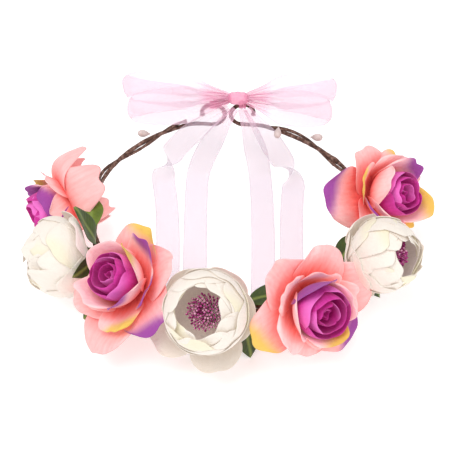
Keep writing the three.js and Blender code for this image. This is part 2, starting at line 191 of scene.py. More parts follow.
# %% Node groups
def new_group(name, inputs, outputs):
    group = bpy.data.node_groups.new(name, "ShaderNodeTree")
    for label, kind, value in inputs:
        socket = group.interface.new_socket(label, in_out="INPUT", socket_type=kind)
        socket.default_value = value
    for label, kind in outputs:
        group.interface.new_socket(label, in_out="OUTPUT", socket_type=kind)
    start, end = group.nodes.new("NodeGroupInput"), group.nodes.new("NodeGroupOutput")
    return group, start.outputs, end.inputs, adder(group)


FLOAT, COLOUR = "NodeSocketFloat", "NodeSocketColor"
weave_group, start, end, add = new_group("woven threads", [("Threads", FLOAT, 60.0)], [("Height", FLOAT)])
cloth = add("UVMap", uv_map="flat")
waves = [
    add("TexWave", {"Vector": cloth.outputs["UV"], "Scale": start["Threads"], "Distortion": 0.4},
        wave_type="BANDS", bands_direction=way).outputs["Fac"]
    for way in ("X", "Y")
]
link(add("Math", {0: waves[0], 1: waves[1]}, operation="MAXIMUM").outputs[0], end["Height"])

mottle_group, start, end, add = new_group(
    "mottled dye", [("Color", COLOUR, (1, 1, 1, 1)), ("Scale", FLOAT, 90.0), ("Amount", FLOAT, 0.1)],
    [("Color", COLOUR)],
)
place = add("TexCoord")
patches = add("TexNoise", {"Vector": place.outputs["Object"], "Scale": start["Scale"], "Detail": 4.0})
centred = add("Math", {0: patches.outputs["Fac"], 1: 0.5}, operation="SUBTRACT")
change = add("Math", {0: centred.outputs[0], 1: start["Amount"]}, operation="MULTIPLY")
value = add("Math", {0: change.outputs[0], 1: 1.0}, operation="ADD")
shifted = add("HueSaturation", {"Value": value.outputs[0], "Color": start["Color"]})
link(shifted.outputs["Color"], end["Color"])
print("node groups:", weave_group.name, "and", mottle_group.name)

# %% [markdown]
# ## Silk and other finishes
# Each rose petal is dyed by hand: pale at the rim, coral at the foot, and on some petals a yellow or purple
# tip. That changes over the petal, so each petal's mesh carries a colour attribute, whose red part is the
# depth of the coral, green the yellow tip and blue the purple one. The red part is partly dye and partly
# painted shade, which darkens each petal towards its foot, deep in the flower. The material turns these three
# masks into colours, then adds the mottling, the streaks that run from foot to rim, the creases and the
# weave.
# Thin silk passes some light on, so its folds never go dark. Subsurface scattering could show that, but it is
# slow on so many thin petals, so each silk gives off a little of its own colour instead, as painted light.


# %% Rose silk
def ramp(add, factor, *stops):
    node = add("ValToRGB", {"Fac": factor})
    elements = node.color_ramp.elements
    while len(elements) < len(stops):
        elements.new(0.5)
    for element, (position, colour) in zip(elements, stops):
        element.position, element.color = position, colour
    return node.outputs["Color"]


def group_node(add, group, inputs):
    node = add("Group", node_tree=group)
    for key, value in inputs.items():
        if isinstance(value, bpy.types.NodeSocket):
            link(value, node.inputs[key])
        else:
            node.inputs[key].default_value = value
    return node


def dyed_silk_with_painted_shade(name, stops, yellow, purple, threads=26.0, mottle=0.2, streak=0.07, glow=0.1):
    material, shader, add = new_material(name, 0.78, Sheen_Weight=0.12)
    dye_and_painted_shade = add("Attribute", attribute_name="dye_and_painted_shade")
    masks = add("SeparateColor", {"Color": dye_and_painted_shade.outputs["Color"]}).outputs
    cloth = add("UVMap", uv_map="flat")
    drawn_out = add("Mapping", {"Vector": cloth.outputs["UV"], "Scale": (5, 1, 1)})
    veins = add("TexNoise", {"Vector": drawn_out.outputs["Vector"], "Scale": 9.0, "Detail": 4.0})
    crease = add("TexNoise", {"Vector": cloth.outputs["UV"], "Scale": 14.0, "Detail": 3.0})
    streaks = add("MapRange", {"Value": veins.outputs["Fac"], "From Min": 0.3, "From Max": 0.7,
                               "To Min": -streak, "To Max": streak})
    # Painted shade: the red mask, partly dye, moves each point down its ramp towards the dark foot colour.
    depth = add("Math", {0: masks["Red"], 1: streaks.outputs[0]}, operation="ADD")
    colour = ramp(add, depth.outputs[0], *stops)
    for mask, tint in (("Green", yellow), ("Blue", purple)):
        mix = add("Mix", {"Factor": masks[mask]}, data_type="RGBA")
        link(colour, mix.inputs[6])
        mix.inputs[7].default_value = tint
        colour = mix.outputs[2]
    mottled = group_node(add, mottle_group, {"Color": colour, "Scale": 150.0, "Amount": mottle})
    link(mottled.outputs["Color"], shader.inputs["Base Color"])
    # Painted light: the silk glows with a little of its own colour, standing in for light passed through it.
    link(mottled.outputs["Color"], shader.inputs["Emission Color"])
    shader.inputs["Emission Strength"].default_value = glow
    weave = group_node(add, weave_group, {"Threads": threads})
    threads_and_veins = {0: weave.outputs["Height"], 1: 0.2, 2: veins.outputs["Fac"]}
    fine = add("Math", threads_and_veins, operation="MULTIPLY_ADD")
    creased = add("Math", {0: crease.outputs["Fac"], 1: 3.0, 2: fine.outputs[0]}, operation="MULTIPLY_ADD")
    bump = add("Bump", {"Height": creased.outputs[0], "Strength": 0.5, "Distance": 0.0006})
    link(bump.outputs["Normal"], shader.inputs["Normal"])
    return material


YELLOW_DYE = srgb(226, 186, 84)
PURPLE_DYE = srgb(150, 62, 150)
# Painted shade: the pink's deep coral at the petals' feet is partly dye and partly shade inside the rose.
pink_silk = dyed_silk_with_painted_shade(
    "pink silk",
    [(0.0, srgb(253, 206, 206)), (0.3, srgb(250, 172, 170)), (0.7, srgb(240, 112, 104)),
     (1.0, srgb(200, 54, 60))],
    YELLOW_DYE, PURPLE_DYE,
)
# Painted shade: the magenta darkens nearly to black at the bud's foot, in the folds of its rolled petals.
magenta_silk = dyed_silk_with_painted_shade(
    "magenta silk",
    [(0.0, srgb(206, 56, 158)), (0.3, srgb(190, 22, 134)), (0.75, srgb(150, 4, 98)),
     (1.0, srgb(98, 0, 64))],
    srgb(222, 130, 170), srgb(226, 104, 190), mottle=0.35, streak=0.12,
)
# Painted shade: the cream turns tan towards the petals' feet, inside the ranunculus ball and under it.
white_silk = dyed_silk_with_painted_shade(
    "cream silk",
    [(0.0, srgb(228, 219, 209)), (0.4, srgb(222, 211, 199)), (0.8, srgb(210, 194, 176)),
     (1.0, srgb(190, 166, 142))],
    srgb(226, 218, 194), srgb(226, 206, 202), mottle=0.05, streak=0.08, glow=0.14,
)
print("silks:", pink_silk.name, magenta_silk.name, white_silk.name)


# %% Leaf, stem, stamen, pip and bark finishes
def plain_finish(name, roughness, stops, scale, height, detail=6.0, stretch=(1, 1, 1), **settings):
    material, shader, add = new_material(name, roughness, **settings)
    place = add("TexCoord")
    mapping = add("Mapping", {"Vector": place.outputs["Object"], "Scale": stretch})
    grain = add("TexNoise", {"Vector": mapping.outputs["Vector"], "Scale": scale, "Detail": detail})
    link(ramp(add, grain.outputs["Fac"], *stops), shader.inputs["Base Color"])
    bump = add("Bump", {"Height": grain.outputs["Fac"], "Strength": 0.5, "Distance": height})
    link(bump.outputs["Normal"], shader.inputs["Normal"])
    return material


bark = plain_finish(
    "bark paper wrap", 0.85,
    [(0.3, srgb(48, 30, 24)), (0.5, srgb(96, 66, 54)), (0.72, srgb(150, 122, 110))], 420, 0.0006,
)
stem_paper = plain_finish(
    "green stem paper", 0.8, [(0.3, srgb(48, 66, 24)), (0.7, srgb(104, 122, 58))], 300, 0.0003,
)
stamen_thread = plain_finish(
    "purple stamen thread", 0.7,
    [(0.38, srgb(140, 24, 100)), (0.5, srgb(196, 70, 150)), (0.62, srgb(244, 186, 212))], 420, 0.0002,
)
pip_skin = plain_finish(
    "pearly pip", 0.45, [(0.3, srgb(188, 172, 166)), (0.7, srgb(226, 208, 206))], 160, 0.0002,
)

leaf_cloth, shader, add = new_material("leaf cloth", 0.55, Sheen_Weight=0.08)
cloth = add("UVMap", uv_map="flat")
halves = add("SeparateXYZ", {"Vector": cloth.outputs["UV"]})
side = add("Math", {0: halves.outputs["X"]}, operation="ABSOLUTE")
slant = add("Math", {0: side.outputs[0], 1: -1.1, 2: halves.outputs["Y"]}, operation="MULTIPLY_ADD")
slanted = add("CombineXYZ", {"X": slant.outputs[0]})
veins = add("TexWave", {"Vector": slanted.outputs[0], "Scale": 9.0, "Distortion": 1.2}, wave_type="BANDS")
midrib = add("MapRange", {"Value": side.outputs[0], "From Max": 0.016, "To Min": 1.0, "To Max": 0.0})
relief = add("Math", {0: veins.outputs["Fac"], 1: 0.35, 2: midrib.outputs[0]}, operation="MULTIPLY_ADD")
dye_and_painted_shade = add("Attribute", attribute_name="dye_and_painted_shade")
depth = add("SeparateColor", {"Color": dye_and_painted_shade.outputs["Color"]}).outputs["Red"]
greens = ramp(add, depth, (0.0, srgb(118, 140, 30)), (0.45, srgb(74, 100, 16)), (1.0, srgb(26, 44, 8)))
leafy = group_node(add, mottle_group, {"Color": greens, "Scale": 130.0, "Amount": 0.5})
lit = add("Mix", {"Factor": midrib.outputs[0]}, data_type="RGBA")
link(leafy.outputs["Color"], lit.inputs[6])
lit.inputs[7].default_value = srgb(120, 140, 60)
link(lit.outputs[2], shader.inputs["Base Color"])
bump = add("Bump", {"Height": relief.outputs[0], "Strength": 0.5, "Distance": 0.0005})
link(bump.outputs["Normal"], shader.inputs["Normal"])
print("finishes for bark, stems, stamens, pips and leaves")

# %% [markdown]
# ## Organza
# Organza is a thin open weave, so what is behind it shows through, and where it is gathered or doubled its
# pink grows strong. The red part of the colour attribute on its points says how gathered the ribbon is, and
# it drives both the colour and the alpha. The two selvedges, at the sides of the UV map, are woven denser.

# %% Organza
organza, shader, add = new_material("pink organza", 0.5, Sheen_Weight=0.25)
dye_and_painted_shade = add("Attribute", attribute_name="dye_and_painted_shade")
gathered = add("SeparateColor", {"Color": dye_and_painted_shade.outputs["Color"]}).outputs["Red"]
tint = ramp(
    add, gathered, (0.0, srgb(216, 200, 215)), (0.1, srgb(240, 212, 228)), (0.35, srgb(250, 194, 220)),
    (0.7, srgb(253, 176, 206)), (1.0, srgb(252, 164, 198)),
)
weave = group_node(add, weave_group, {"Threads": 40.0})
link(tint, shader.inputs["Base Color"])
cloth = add("UVMap", uv_map="flat")
sideways = add("SeparateXYZ", {"Vector": cloth.outputs["UV"]}).outputs["X"]
across = add("Math", {0: sideways}, operation="ABSOLUTE")
selvedge = add("MapRange", {"Value": across.outputs[0], "From Min": 0.0735, "From Max": 0.0765,
                            "To Max": 0.14})
closed = add("Math", {0: gathered, 1: 0.42, 2: 0.2}, operation="MULTIPLY_ADD")
edged = add("Math", {0: closed.outputs[0], 1: selvedge.outputs[0]}, operation="ADD")
alpha = add("Math", {0: weave.outputs["Height"], 1: 0.08, 2: edged.outputs[0]}, operation="MULTIPLY_ADD")
alpha.use_clamp = True
link(alpha.outputs[0], shader.inputs["Alpha"])
bump = add("Bump", {"Height": weave.outputs["Height"], "Strength": 0.12, "Distance": 0.0003})
link(bump.outputs["Normal"], shader.inputs["Normal"])
print("organza with gathers and selvedges")

# %% [markdown]
# ## Making a piece
# Every piece is worked out in ring millimetres, with a colour attribute of dye and painted shade on its
# points and a flat UV map in tenths of a metre. One function turns the bmesh into an object in the frame's
# metres, names the body that it rides on, and says which plain solid of the frame it stands for.

# %% Piece maker
FLAT_UNIT = 100  # millimetres of cloth for one unit of the UV map


def new_cloth():
    bm = bmesh.new()
    return bm, bm.verts.layers.float_color.new("dye_and_painted_shade"), bm.loops.layers.uv.new("flat")


def make_piece(name, bm, material, body, replaced=(), wall=0.0, smooth=1):
    bm.normal_update()
    data = bpy.data.meshes.new(name)
    bm.to_mesh(data)
    bm.free()
    data.transform(TO_FRAME)
    data.materials.append(material)
    for face in data.polygons:
        face.use_smooth = True
    piece = bpy.data.objects.new(name, data)
    bpy.context.collection.objects.link(piece)
    if wall:
        thick = piece.modifiers.new("cloth thickness", "SOLIDIFY")
        thick.thickness, thick.offset = wall / 1000, 0
    if smooth:
        round_off = piece.modifiers.new("smooth", "SUBSURF")
        round_off.levels = round_off.render_levels = smooth
    if body:
        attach(piece, body)
    if replaced:
        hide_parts(*replaced)
    return piece


def bezier(points, t):
    """The point at t on the curve that a list of control points pulls."""
    points = [Vector(p) for p in points]
    while len(points) > 1:
        points = [a.lerp(b, t) for a, b in zip(points, points[1:])]
    return points[0]


def step(low, high, x):
    t = min(max((x - low) / (high - low), 0), 1)
    return t * t * (3 - 2 * t)


def mount(at, azimuth, elevation, spin=0, outwards=0, lift=0):
    """Where a flower or leaf is wired on: its own Z is the way it faces, and X is level."""
    a, e, place = math.radians(azimuth), math.radians(elevation), math.radians(at)
    facing = Vector((math.cos(a) * math.cos(e), math.sin(a) * math.cos(e), math.sin(e)))
    level = Vector((-math.sin(a), math.cos(a), 0))
    radius = RING_RADIUS + outwards
    where = Vector((radius * math.cos(place), radius * math.sin(place), VINE_HEIGHT + lift))
    turned = Matrix((level, facing.cross(level), facing)).transposed().to_4x4()
    return Matrix.Translation(where) @ turned @ Matrix.Rotation(math.radians(spin), 4, "Z")


print("piece maker ready")

# %% [markdown]
# ## Petals
# A real silk petal is stamped flat, pressed over a ball to cup it, and glued at its foot. Here one is a grid:
# its middle line follows a curve of distance and height from foot to tip, its width swells and closes in a
# round tip, and it wraps round a cylinder, tight for a bud and nearly flat for an open flower. Ripples at the
# rim and the masks of dye and painted shade at the foot complete it.


# %% Petal
WIDEST = 0.62  # the share of a petal's length where it is widest


def add_petal(cloth, head, angle, curve, width, wrap, seed, tip="", deep=(1.0, 0.0), ruffle=1.0, roll=0.0,
              stop=1.0, slant=0.0, lean=(0, 0)):
    """head: the flower's matrix. curve: control points of (distance from the axis, height). width: half of
    it. wrap: the radius that it is cupped round. deep: the coral at foot and rim, partly dye and partly
    painted shade that darkens the foot. roll: how far the rim's edges turn outwards. stop: the share of the
    curve that it covers. slant: how much further one side goes. lean: how far the whole flower's top is
    pushed sideways."""
    bm, dye_and_painted_shade, flat = cloth
    made = bmesh.ops.create_grid(bm, x_segments=10, y_segments=10, size=0.5)["verts"]
    length = sum((bezier(curve, i / 8) - bezier(curve, (i + 1) / 8)).length for i in range(8))
    turn = Matrix.Rotation(math.radians(angle), 4, "Z")
    lay = {}
    for v in made:
        u, s = v.co.x * 2, v.co.y + 0.5
        if s < WIDEST:
            half = width * (0.3 + 0.7 * math.sin(math.pi / 2 * s / WIDEST))
        else:
            half = width * (1 - 0.24 * ((s - WIDEST) / (1 - WIDEST)) ** 2)
        wave = noise.noise(Vector((u * 1.3 + seed * 7.7, s * 1.6, seed)))
        ragged = 0.035 * noise.noise(Vector((u * 4.5, seed * 2.3, 1))) * s
        notch = 0.05 * s ** 4 * max(0, 1 - 9 * u * u)
        along = (s - 0.2 * s * abs(u) ** 3.6 - notch + 0.05 * wave * s + ragged) * stop * (1 + slant * u)
        radial, height = bezier(curve, min(max(along, 0), 1.06))
        theta = u * half / wrap
        out = radial - wrap * (1 - math.cos(theta)) + roll * (u * s) ** 2 * s
        frill = 1.6 * wave + 0.7 * math.sin(4.2 * u + seed * 3) + 0.35 * math.sin(9 * u + seed * 5)
        lift = height + ruffle * s * s * frill
        spot = Vector((out + ruffle * 0.8 * wave * s, wrap * math.sin(theta), lift))
        pushed = Vector((*lean, 0)) * (lift / 40) ** 2
        v.co = head @ (turn @ spot + pushed)
        lay[v] = (u * half / FLAT_UNIT, s * length / FLAT_UNIT)
        tip_side = 0.45 if int(seed * 10) % 2 else -0.45
        starts = 0.2 if tip.startswith("whole") else 0.5
        edge = step(starts + 0.1 * wave, starts + 0.32, s - 0.3 * (u - tip_side) ** 2)
        # Painted shade: the coral deepens from rim to foot, partly the dye and partly shade deep in the
        # flower.
        coral_and_painted_shade = deep[0] + (deep[1] - deep[0]) * step(0.1, 0.8, s) + 0.12 * wave
        masks = {"yellow": (edge, 0), "purple": (0, edge), "": (0, 0)}[tip.removeprefix("whole ")]
        v[dye_and_painted_shade] = (min(max(coral_and_painted_shade, 0), 1), min(max(masks[0], 0), 1), min(max(masks[1], 0), 1), 1)
    for face in {f for v in made for f in v.link_faces}:
        for loop in face.loops:
            loop[flat].uv = lay[loop.vert]


def tip_of(tips, i):
    return {"y": "yellow", "p": "purple", "P": "whole purple"}.get(tips[i % len(tips)], "")


print("petal maker ready")

# %% [markdown]
# ## Roses
# Each of the four roses has a rolled magenta bud, a cup of inner petals, a middle row that leans out, and a
# flared outer row. Each outer petal has its own reach, because a neighbour or the table bends some of them
# back, and a few droop past the plain solid that they stand for. In the tips below a letter stands for one
# petal: y for a yellow tip, p for a purple one, and P for a petal that is purple nearly to its foot.

# %% Rose maker
PETAL_WALL = 0.4
BODY = "crown_front"
# Radii first, then each petal's half width and the radius that it wraps round.
CUP_RIM, CUP_BELLY, CUP_WIDTH, CUP_WRAP = 21, 16.5, 17, 17.5
MIDDLE_REACH, MIDDLE_WIDTH, MIDDLE_WRAP = 28, 15, 24
OUTER_WIDTH, OUTER_WRAP = 19.5, 36


def make_rose(name, place, stem, radius, flare, reach, bud_phase, cup_tips, middle_tips, outer_tips,
              cup_phase=0, middle_phase=30, cup_height=24, reflex=0, bud_size=1.15):
    """stem: where the outer row starts. flare: how far that row's tips rise above its foot. reach: each outer
    petal's share of the radius. The phases turn a row round the flower. reflex: how far the outer tips bend
    back towards the vine."""
    # Painted shade: each row's deep pair darkens its petals towards the foot, partly dye, partly shade.
    head = mount(**place)
    foot = stem + 3.5
    bud = new_cloth()
    rolls = [  # petals, belly, height, phase, half width, wrap
        (3, 2.2, 20, 0, 5, 3.4), (3, 6, 24, 40, 9, 6.2), (4, 9.5, 25, 10, 13, 9.2), (4, 12, 23, 55, 15, 11.5),
    ]
    for row, (count, belly, height, phase, width, wrap) in enumerate(rolls):
        for i in range(count):
            belly_out = belly * bud_size
            curve = [(0.5, foot), (belly_out * 1.25, foot + 1), (belly_out * 1.1, foot + height * 0.75),
                     (belly_out * (0.66 + 0.09 * row), foot + height)]
            seed = i * 1.7 + row * 5.3 + bud_phase
            tip = "purple" if (i + row) % 3 == 0 else ""
            add_petal(bud, head, bud_phase + phase + i * 360 / count, curve, width * bud_size,
                      wrap * bud_size, seed, tip, deep=(1.0, 0.12), ruffle=0.7, roll=0.6)
    make_piece(f"{name}_rolled_bud", bud[0], magenta_silk, BODY, [f"{name}_bud"], PETAL_WALL)

    cup = new_cloth()
    for i in range(len(cup_tips)):
        lean = 1 + 0.12 * math.sin(i * 2.1 + bud_phase)
        curve = [(1, foot - 2), (19, foot - 3), (CUP_BELLY, foot + cup_height * 0.62),
                 (CUP_RIM * lean, foot + cup_height + 2 * (i % 2))]
        add_petal(cup, head, cup_phase + i * 360 / len(cup_tips), curve, CUP_WIDTH, CUP_WRAP,
                  i * 2.3 + bud_phase, tip_of(cup_tips, i), deep=(1.0, 0.05), ruffle=1.1, roll=3.5)
    make_piece(f"{name}_inner_silk", cup[0], pink_silk, BODY, [f"{name}_inner_petals"],
               PETAL_WALL)

    outer = new_cloth()
    for i in range(len(middle_tips)):
        far = MIDDLE_REACH * (0.94 + 0.1 * math.sin(i * 1.9 + bud_phase))
        behind = round(i * len(reach) / len(middle_tips) + middle_phase / 60) % len(reach)
        far *= 0.5 + 0.5 * reach[behind]
        curve = [(1, foot - 3), (20, foot - 6), (far - 5, foot + 11), (far + 1, foot + 14 - 5 * (i % 2))]
        add_petal(outer, head, middle_phase + i * 360 / len(middle_tips), curve, MIDDLE_WIDTH, MIDDLE_WRAP,
                  i * 1.3 + bud_phase + 2, tip_of(middle_tips, i), deep=(0.95, 0.1), ruffle=1.9, roll=3.0)
    for i, share in enumerate(reach):
        far = radius * share * 1.04
        curve = [(1, stem), (far * 0.5, stem - 1 + reflex * 0.3),
                 (far * 0.8 + reflex * 0.35, stem + flare + 5),
                 (far * (1 - reflex / 120), stem + flare - reflex * 1.3)]
        add_petal(outer, head, i * 360 / len(reach), curve, OUTER_WIDTH * (0.7 + 0.3 * share), OUTER_WRAP,
                  i * 2.9 + bud_phase, tip_of(outer_tips, i), deep=(0.85, 0.2), ruffle=2.0, roll=-2.5)
    petals = make_piece(f"{name}_outer_silk", outer[0], pink_silk, BODY,
                        [f"{name}_outer_petals"], PETAL_WALL)
    in_bud = sum(roll[0] for roll in rolls)
    print(name, "petals:", in_bud + len(cup_tips) + len(middle_tips) + len(reach),
          "faces:", len(petals.data.polygons))


# %% Four roses
make_rose("rose_left_rear", dict(at=168, azimuth=208, elevation=-8), 19, 37, 3,
          [0.55, 0.9, 0.95, 0.8, 0.75, 0.6], bud_phase=0, cup_tips="PPPP", middle_tips="--y--",
          outer_tips="------", cup_phase=250, cup_height=19, reflex=20, bud_size=1.25)
make_rose("rose_left_front", dict(at=232, azimuth=212, elevation=52), 9, 39, 8,
          [1.1, 0.9, 0.9, 0.65, 0.95, 1.15], bud_phase=40, cup_tips="py--", middle_tips="p--yp",
          outer_tips="p-y---", cup_phase=-10, middle_phase=100)
make_rose("rose_right_front", dict(at=299, azimuth=303, elevation=26), 9, 40, 7,
          [1.1, 0.95, 1, 1.1, 0.78, 0.95], bud_phase=80, cup_tips="-P-y", middle_tips="-----",
          outer_tips="---y-p", cup_phase=0, middle_phase=60, bud_size=1.3)
make_rose("rose_right_rear", dict(at=368, azimuth=322, elevation=34, spin=30), 15, 40, 4,
          [0.75, 0.85, 1.3, 0.75, 0.85, 0.9], bud_phase=15, cup_tips="p--y", middle_tips="-ypy-",
          outer_tips="y-p-y-", cup_phase=0, middle_phase=20)

# %% [markdown]
# ## Ranunculus
# A ranunculus is a ball of many thin cream petals that wrap round each other, open at the top on a tuft of
# stamens. Six rows of wide petals share one ball-shaped curve, each row a little smaller. The stamens are one
# small thread and bead, repeated over a low dome. The left flower is nearly shut, so its inner rows close
# over the stamens.


# %% Ranunculus maker
STAMENS = 120
BALL_HEIGHT, BALL_WRAP = 36, 24
GUARD_WIDTH, GUARD_WRAP = 17, 34
CREAM_WALL = 0.5


def add_stamens(head, foot, height, spread):
    bm = bmesh.new()
    golden = math.radians(137.5)
    for i in range(STAMENS):
        share = math.sqrt((i + 0.5) / STAMENS)
        angle = i * golden
        top = height * (1 - 0.3 * share * share) + 4 * noise.noise(Vector((i * 0.9, 1.5, 2)))
        at = Vector((spread * share * math.cos(angle), spread * share * math.sin(angle), foot + top))
        root = Vector((at.x * 0.55, at.y * 0.55, foot + 1))
        way = (at - root).normalized()
        thread = bmesh.ops.create_cone(bm, cap_ends=True, segments=5, radius1=0.3, radius2=0.22,
                                       depth=(at - root).length)["verts"]
        bead = bmesh.ops.create_icosphere(bm, subdivisions=1, radius=1.0)["verts"]
        stand = way.to_track_quat("Z", "Y").to_matrix().to_4x4()
        bmesh.ops.transform(bm, matrix=head @ Matrix.Translation((at + root) / 2) @ stand, verts=thread)
        stretch = Matrix.Diagonal((0.8, 0.8, 1.5, 1))
        bmesh.ops.transform(bm, matrix=head @ Matrix.Translation(at) @ stand @ stretch, verts=bead)
    return bm


def make_ranunculus(name, place, stem, radius, flare, reach, seed, mouth_radius, tuft_height, shut=False,
                    lean=(0, 0), belly=34):
    head = mount(**place)
    foot = stem + 1.6
    cup = new_cloth()
    rows = [  # petals, size, share of the curve that they cover, half width, phase
        (5, 1.02, 0.62, 20, 0), (5, 0.99, 0.76, 22, 34), (5, 0.965, 0.87, 23, 66), (5, 0.94, 0.95, 23, 10),
        (5, 0.9, 1.0, 22, 45), (4, 0.85, 0.98, 22, 20),
    ]
    for row, (count, size, stop, width, phase) in enumerate(rows):
        for i in range(count):
            mouth = (mouth_radius - 0.4 * row) * (1 + 0.1 * math.sin(i * 2.4 + seed))
            tall = BALL_HEIGHT * (1 + 0.04 * math.sin(i * 3.1 + row + seed)) + (4 - row if shut else 0)
            curve = [(1, foot + row * 0.6), (belly * size, foot - 3 + row * 0.6),
                     ((belly - 1) * size, foot + tall * 0.72), (mouth, foot + tall)]
            # Painted shade: the cup's petals turn a little tan towards their feet, inside the ball.
            add_petal(cup, head, phase + seed * 20 + i * 360 / count, curve, width, BALL_WRAP * size,
                      i * 1.9 + row * 4 + seed, "yellow" if (i + row) % 6 == 0 else "", deep=(0.35, 0.0),
                      ruffle=0.8, roll=0.8, stop=stop, slant=0.1, lean=lean)
    make_piece(f"{name}_cup_silk", cup[0], white_silk, BODY, [f"{name}_cup_petals"],
               CREAM_WALL)
    guard = new_cloth()
    for i, share in enumerate(reach):
        far = radius * share
        curve = [(1, stem), (far * 0.7, stem - 1), (far * 0.95, stem + flare * 0.4), (far, stem + flare)]
        # Painted shade: the guard petals are dark at their feet, under the ball.
        add_petal(guard, head, i * 360 / len(reach), curve, GUARD_WIDTH, GUARD_WRAP, i * 2.2 + seed,
                  "purple" if i % 2 else "", deep=(0.9, 0.05), ruffle=1.2, roll=-1.0)
    make_piece(f"{name}_guard_silk", guard[0], white_silk, BODY, [f"{name}_guard_petals"],
               CREAM_WALL)
    tuft = add_stamens(head, foot + 4, tuft_height, 11)
    make_piece(f"{name}_stamen_tuft", tuft, stamen_thread, BODY, [f"{name}_stamens"],
               smooth=0)
    print(name, "petals:", sum(row[0] for row in rows) + len(reach))


# %% Three ranunculus
make_ranunculus("ranunculus_left", dict(at=204, azimuth=199, elevation=0, lift=2), 10, 28, 8,
                [0.8, 1, 1, 1, 0.9], seed=3, mouth_radius=5, tuft_height=14, shut=True)
make_ranunculus("ranunculus_front", dict(at=264, azimuth=258, elevation=49), 9, 33, 10,
                [0.85, 0.85, 0.9, 1.18, 1.1], seed=1, mouth_radius=14, tuft_height=21, lean=(-1, 0), belly=31)
make_ranunculus("ranunculus_right", dict(at=334, azimuth=320, elevation=31), 9, 28, 8,
                [0.9, 0.9, 0.85, 0.95, 1], seed=5, mouth_radius=11, tuft_height=25, lean=(-1, 0), belly=29)

# %% [markdown]
# ## Leaves
# The leaves are stamped from stiffened green cloth and pressed with a midrib. Each starts as a grid whose
# width follows a pointed oval, folds a little along the midrib, and curls back at its tip. Its first rows
# stay narrow and are the stalk that is bound to the vine.

# %% Leaves
LEAF_LENGTH, LEAF_WIDTH, LEAF_CURL, LEAF_STALK, LEAF_WALL = 30, 16, 3, 5, 0.45


def make_leaf(name, depth=0.6, **place):
    head = mount(**place)
    bm, dye_and_painted_shade, flat = new_cloth()
    made = bmesh.ops.create_grid(bm, x_segments=8, y_segments=14, size=0.5)["verts"]
    lay = {}
    for v in made:
        u, s = v.co.x * 2, (v.co.y + 0.5) * (1 + LEAF_STALK / LEAF_LENGTH) - LEAF_STALK / LEAF_LENGTH
        oval = max(math.sin(math.pi * s ** 0.85) ** 0.8, 0.03) if 0.02 < s < 0.999 else 0.07
        half = LEAF_WIDTH / 2 * oval
        bend = -LEAF_CURL * s * s + 1.5 * abs(u) * (half / 8) + 0.5 * math.sin(9 * s + 2 * u)
        v.co = head @ Vector((u * half, bend - 0.4, LEAF_LENGTH * s))
        lay[v] = (u * half / FLAT_UNIT, s * LEAF_LENGTH / FLAT_UNIT)
        shade = depth + 0.25 * noise.noise(Vector((u * 2, s * 3, len(name))))
        v[dye_and_painted_shade] = (min(max(shade, 0), 1), 0, 0, 1)
    for face in bm.faces:
        for loop in face.loops:
            loop[flat].uv = lay[loop.vert]
    make_piece(f"{name}_cloth", bm, leaf_cloth, BODY, [name], LEAF_WALL)


make_leaf("leaf_left_top", at=179, azimuth=272, elevation=4, lift=9, depth=0.25)
make_leaf("leaf_left_back", at=205, azimuth=150, elevation=70, spin=20, outwards=3, lift=8, depth=0.7)
make_leaf("leaf_left_front", at=213, azimuth=235, elevation=4, spin=-75, outwards=1, lift=12, depth=0.85)
make_leaf("leaf_left_under", at=219, azimuth=222, elevation=-35, outwards=6, lift=-3, depth=0.8)
make_leaf("leaf_front_left", at=258, azimuth=250, elevation=-65, lift=-5, depth=0.8)
make_leaf("leaf_front_right", at=276, azimuth=300, elevation=-65, lift=-5, depth=0.8)
make_leaf("leaf_front_gap", at=278, azimuth=15, elevation=10, outwards=-3, lift=6, depth=0.8)
make_leaf("leaf_right_inner", at=322, azimuth=60, elevation=5, outwards=-1, lift=7, depth=0.85)
make_leaf("leaf_right_under", at=332, azimuth=333, elevation=-45, outwards=3, lift=-5, depth=0.9)
print("nine leaves")

# %% [markdown]
# ## Vine
# The vine is soft wire in brown paper: a main strand that ends at the back in an eye on each side, and a
# thinner one that winds round it. A Blender curve with a round bevel is the natural tool, because each of its
# points can have its own radius, and that gives the small knots and lumps of twisted paper. The frame cuts
# the vine where an arm can flex, so each arm's strand here starts inside the front stretch and runs across
# the cut.

# %% Vine
TWIST_TURNS = 7
EYE_RADIUS, EYE_RISE, EYE_TURN, EYE_LEAN = 8, 4, 285, 3.5
EYE_X = 10.1  # an eye's middle, from the crown's own
LEFT_FLEX, RIGHT_FLEX = 162, 24


def ring_point(degrees, outwards=0, lift=0):
    a = math.radians(degrees)
    radius = RING_RADIUS + outwards
    return Vector((radius * math.cos(a), radius * math.sin(a), VINE_HEIGHT + lift))


def pressed_in(flex, flattening, degrees):
    share = min(max((degrees - flex) / (90 - flex), 0), 1)
    return flattening * math.sin(math.pi * share)


